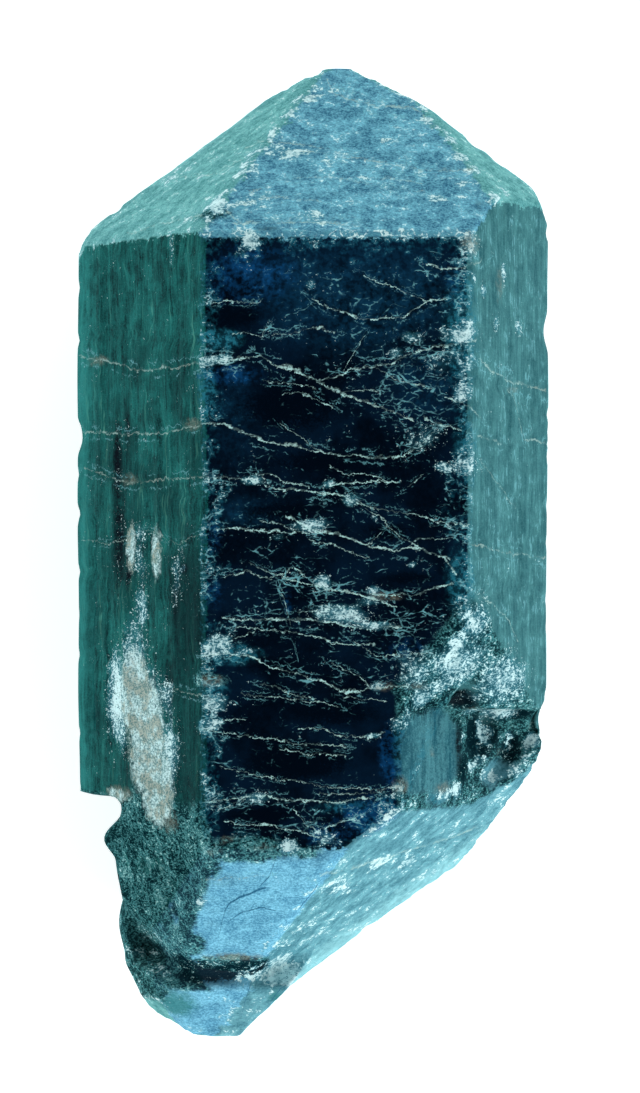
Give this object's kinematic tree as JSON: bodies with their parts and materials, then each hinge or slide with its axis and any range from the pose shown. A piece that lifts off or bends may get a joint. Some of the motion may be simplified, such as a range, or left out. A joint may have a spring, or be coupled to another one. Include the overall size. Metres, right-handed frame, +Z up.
{
  "type": "apatite crystal",
  "caption": "Stout hexagonal apatite crystal with a whole pyramid at one end and a broken, notched one at the other, lying on its back prism face.",
  "frame": {"origin": "centre of the footprint of the crystal's box, on the surface it lies on", "axes": "+Y along the crystal's long c axis towards the whole pyramid, +Z up out of the front prism face, +X to the right seen from above with +Y away"},
  "size_m": [0.0322, 0.0668, 0.0253],
  "materials": {
    "apatite": "dark blue-green crystal faces, fine vertical striation, pale parting cracks, frosted broken ground"
  },
  "bodies": {
    "root": {"crystal": "apatite"}
  },
  "joints": []
}
